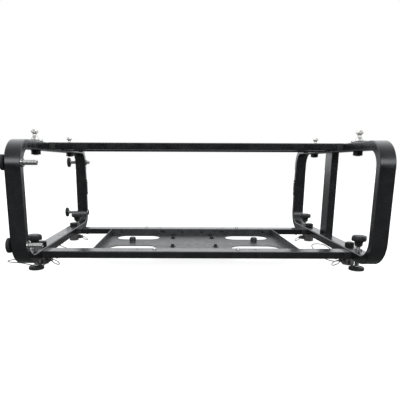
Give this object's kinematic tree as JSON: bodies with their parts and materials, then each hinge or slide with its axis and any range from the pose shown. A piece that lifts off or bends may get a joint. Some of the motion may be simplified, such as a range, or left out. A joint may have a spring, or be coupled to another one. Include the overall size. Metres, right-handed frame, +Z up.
{
  "type": "equipment stacking frame",
  "caption": "Open black tube frame with slotted base tray, stacking studs, quick-release cups, screw feet on two sides and a removable side strut.",
  "frame": {"origin": "bottom centre of the bounding box: on the floor under the feet, 29 mm left of the middle of the two hoops because the side feet stand out on the left", "axes": "+Z up, +X to the right across the frame, +Y from the front to the rear"},
  "size_m": [1.3192, 0.948, 0.481],
  "materials": {
    "frame_powder_coat": "satin black powder coat",
    "bracket_black": "matt black coating",
    "tray_powder_coat": "fine textured black powder coat",
    "black_oxide_steel": "black oxide, satin",
    "polished_steel": "polished plated steel",
    "zinc_plated_steel": "bright zinc plate",
    "spindle_steel": "bright plated screw thread",
    "foot_rubber": "matt black moulded rubber",
    "knob_plastic": "fine grained black plastic",
    "pin_steel": "turned stainless steel",
    "wire_sheath": "black sheathed wire rope"
  },
  "bodies": {
    "root": {"left_hoop": "frame_powder_coat", "right_hoop": "frame_powder_coat", "bottom_front_rail": "frame_powder_coat", "bottom_rear_rail": "frame_powder_coat", "top_front_rail": "frame_powder_coat", "top_rear_rail": "frame_powder_coat", "side_strut": "frame_powder_coat", "rail_end_brackets": "bracket_black", "lanyard_anchors": "bracket_black", "base_tray": "tray_powder_coat", "hoop_bolts": "black_oxide_steel", "rail_clamp_bolts": "black_oxide_steel", "tray_rail_bolts": "black_oxide_steel", "tray_cap_screws": "black_oxide_steel", "tray_cap_washers": "black_oxide_steel", "tray_cap_nuts": "black_oxide_steel", "strut_bolts": "black_oxide_steel", "corner_nuts": "black_oxide_steel", "strut_end_plugs": "black_oxide_steel", "tray_weld_nuts": "black_oxide_steel", "stacking_studs": "polished_steel", "rail_dome_bolts": "polished_steel", "pad_bolts": "polished_steel", "receptacles": "zinc_plated_steel", "threaded_bushes": "zinc_plated_steel", "post_pads": "foot_rubber", "lanyard_front_right": "wire_sheath", "lanyard_front_left": "wire_sheath"},
    "foot_front_left": {"foot_disc_front_left": "foot_rubber"},
    "foot_screw_front_left": {"foot_spindle_front_left": "spindle_steel", "foot_knob_front_left": "knob_plastic"},
    "foot_front_right": {"foot_disc_front_right": "foot_rubber"},
    "foot_screw_front_right": {"foot_spindle_front_right": "spindle_steel", "foot_knob_front_right": "knob_plastic"},
    "foot_rear_left": {"foot_disc_rear_left": "foot_rubber"},
    "foot_screw_rear_left": {"foot_spindle_rear_left": "spindle_steel", "foot_knob_rear_left": "knob_plastic"},
    "foot_rear_right": {"foot_disc_rear_right": "foot_rubber"},
    "foot_screw_rear_right": {"foot_spindle_rear_right": "spindle_steel", "foot_knob_rear_right": "knob_plastic"},
    "side_foot_front_low": {"side_foot_disc_front_low": "foot_rubber"},
    "side_screw_front_low": {"side_foot_spindle_front_low": "spindle_steel"},
    "side_foot_front_high": {"side_foot_disc_front_high": "foot_rubber"},
    "side_screw_front_high": {"side_foot_spindle_front_high": "spindle_steel"},
    "side_foot_rear_low": {"side_foot_disc_rear_low": "foot_rubber"},
    "side_screw_rear_low": {"side_foot_spindle_rear_low": "spindle_steel"},
    "side_foot_rear_high": {"side_foot_disc_rear_high": "foot_rubber"},
    "side_screw_rear_high": {"side_foot_spindle_rear_high": "spindle_steel"},
    "pin_front_left": {"pin_front_left": "pin_steel"},
    "ring_front_left": {"pin_ring_front_left": "pin_steel"},
    "pin_front_right": {"pin_front_right": "pin_steel"},
    "ring_front_right": {"pin_ring_front_right": "pin_steel"},
    "pin_rear_left": {"pin_rear_left": "pin_steel"},
    "ring_rear_left": {"pin_ring_rear_left": "pin_steel"},
    "pin_rear_right": {"pin_rear_right": "pin_steel"},
    "ring_rear_right": {"pin_ring_rear_right": "pin_steel"},
    "thumb_washer_left": {"tray_knob_washer_left": "zinc_plated_steel"},
    "thumb_screw_left": {"tray_knob_left": "knob_plastic"},
    "thumb_washer_right": {"tray_knob_washer_right": "zinc_plated_steel"},
    "thumb_screw_right": {"tray_knob_right": "knob_plastic"}
  },
  "joints": [
    {"name": "foot_height_front_left", "type": "slide", "parent": "root", "child": "foot_front_left", "axis": [0, 0, 1], "range_m": [-0.01, 0.027]},
    {"name": "foot_turn_front_left", "type": "hinge", "parent": "foot_front_left", "child": "foot_screw_front_left", "pos_m": [-0.536, -0.312, 0.06], "axis": [0, 0, 1], "range_deg": [-1800.5, 4860.5]},
    {"name": "foot_height_front_right", "type": "slide", "parent": "root", "child": "foot_front_right", "axis": [0, 0, 1], "range_m": [-0.01, 0.027]},
    {"name": "foot_turn_front_right", "type": "hinge", "parent": "foot_front_right", "child": "foot_screw_front_right", "pos_m": [0.594, -0.312, 0.06], "axis": [0, 0, 1], "range_deg": [-1800.5, 4860.5]},
    {"name": "foot_height_rear_left", "type": "slide", "parent": "root", "child": "foot_rear_left", "axis": [0, 0, 1], "range_m": [-0.01, 0.027]},
    {"name": "foot_turn_rear_left", "type": "hinge", "parent": "foot_rear_left", "child": "foot_screw_rear_left", "pos_m": [-0.536, 0.312, 0.06], "axis": [0, 0, 1], "range_deg": [-1800.5, 4860.5]},
    {"name": "foot_height_rear_right", "type": "slide", "parent": "root", "child": "foot_rear_right", "axis": [0, 0, 1], "range_m": [-0.01, 0.027]},
    {"name": "foot_turn_rear_right", "type": "hinge", "parent": "foot_rear_right", "child": "foot_screw_rear_right", "pos_m": [0.594, 0.312, 0.06], "axis": [0, 0, 1], "range_deg": [-1800.5, 4860.5]},
    {"name": "side_reach_front_low", "type": "slide", "parent": "root", "child": "side_foot_front_low", "axis": [-1, 0, 0], "range_m": [0, 0.05]},
    {"name": "side_turn_front_low", "type": "hinge", "parent": "side_foot_front_low", "child": "side_screw_front_low", "pos_m": [-0.561, -0.45, 0.112], "axis": [-1, 0, 0], "range_deg": [-0.5, 9000.5]},
    {"name": "side_reach_front_high", "type": "slide", "parent": "root", "child": "side_foot_front_high", "axis": [-1, 0, 0], "range_m": [0, 0.05]},
    {"name": "side_turn_front_high", "type": "hinge", "parent": "side_foot_front_high", "child": "side_screw_front_high", "pos_m": [-0.561, -0.45, 0.368], "axis": [-1, 0, 0], "range_deg": [-0.5, 9000.5]},
    {"name": "side_reach_rear_low", "type": "slide", "parent": "root", "child": "side_foot_rear_low", "axis": [-1, 0, 0], "range_m": [-0.05, 0]},
    {"name": "side_turn_rear_low", "type": "hinge", "parent": "side_foot_rear_low", "child": "side_screw_rear_low", "pos_m": [-0.561, 0.45, 0.112], "axis": [-1, 0, 0], "range_deg": [-9000.5, 0.5]},
    {"name": "side_reach_rear_high", "type": "slide", "parent": "root", "child": "side_foot_rear_high", "axis": [-1, 0, 0], "range_m": [-0.028, 0.022]},
    {"name": "side_turn_rear_high", "type": "hinge", "parent": "side_foot_rear_high", "child": "side_screw_rear_high", "pos_m": [-0.561, 0.45, 0.368], "axis": [-1, 0, 0], "range_deg": [-5040.5, 3960.5]},
    {"name": "pin_pull_front_left", "type": "slide", "parent": "root", "child": "pin_front_left", "axis": [1, 0, 0], "range_m": [0, 0.04]},
    {"name": "ring_swing_front_left", "type": "hinge", "parent": "pin_front_left", "child": "ring_front_left", "pos_m": [-0.5005, -0.2475, 0.019], "axis": [0, -1, 0], "range_deg": [-57, 60]},
    {"name": "pin_pull_front_right", "type": "slide", "parent": "root", "child": "pin_front_right", "axis": [-1, 0, 0], "range_m": [0, 0.04]},
    {"name": "ring_swing_front_right", "type": "hinge", "parent": "pin_front_right", "child": "ring_front_right", "pos_m": [0.5585, -0.2475, 0.019], "axis": [0, 1, 0], "range_deg": [-57, 60]},
    {"name": "pin_pull_rear_left", "type": "slide", "parent": "root", "child": "pin_rear_left", "axis": [1, 0, 0], "range_m": [0, 0.04]},
    {"name": "ring_swing_rear_left", "type": "hinge", "parent": "pin_rear_left", "child": "ring_rear_left", "pos_m": [-0.5005, 0.2475, 0.019], "axis": [0, -1, 0], "range_deg": [-57, 60]},
    {"name": "pin_pull_rear_right", "type": "slide", "parent": "root", "child": "pin_rear_right", "axis": [-1, 0, 0], "range_m": [0, 0.04]},
    {"name": "ring_swing_rear_right", "type": "hinge", "parent": "pin_rear_right", "child": "ring_rear_right", "pos_m": [0.5585, 0.2475, 0.019], "axis": [0, 1, 0], "range_deg": [-57, 60]},
    {"name": "thumb_lift_left", "type": "slide", "parent": "root", "child": "thumb_washer_left", "axis": [0, 0, 1], "range_m": [0, 0.003]},
    {"name": "thumb_turn_left", "type": "hinge", "parent": "thumb_washer_left", "child": "thumb_screw_left", "pos_m": [-0.231, 0.023, 0.04], "axis": [0, 0, 1], "range_deg": [-0.5, 864.5]},
    {"name": "thumb_lift_right", "type": "slide", "parent": "root", "child": "thumb_washer_right", "axis": [0, 0, 1], "range_m": [0, 0.003]},
    {"name": "thumb_turn_right", "type": "hinge", "parent": "thumb_washer_right", "child": "thumb_screw_right", "pos_m": [0.289, 0.023, 0.04], "axis": [0, 0, 1], "range_deg": [-0.5, 864.5]}
  ],
  "couplings": [
    {"joint": "foot_turn_front_left", "follows": "foot_height_front_left", "rad_per_m": 3141.6},
    {"joint": "foot_turn_front_right", "follows": "foot_height_front_right", "rad_per_m": 3141.6},
    {"joint": "foot_turn_rear_left", "follows": "foot_height_rear_left", "rad_per_m": 3141.6},
    {"joint": "foot_turn_rear_right", "follows": "foot_height_rear_right", "rad_per_m": 3141.6},
    {"joint": "side_turn_front_low", "follows": "side_reach_front_low", "rad_per_m": 3141.6},
    {"joint": "side_turn_front_high", "follows": "side_reach_front_high", "rad_per_m": 3141.6},
    {"joint": "side_turn_rear_low", "follows": "side_reach_rear_low", "rad_per_m": 3141.6},
    {"joint": "side_turn_rear_high", "follows": "side_reach_rear_high", "rad_per_m": 3141.6},
    {"joint": "thumb_turn_left", "follows": "thumb_lift_left", "rad_per_m": 5026.5},
    {"joint": "thumb_turn_right", "follows": "thumb_lift_right", "rad_per_m": 5026.5}
  ]
}
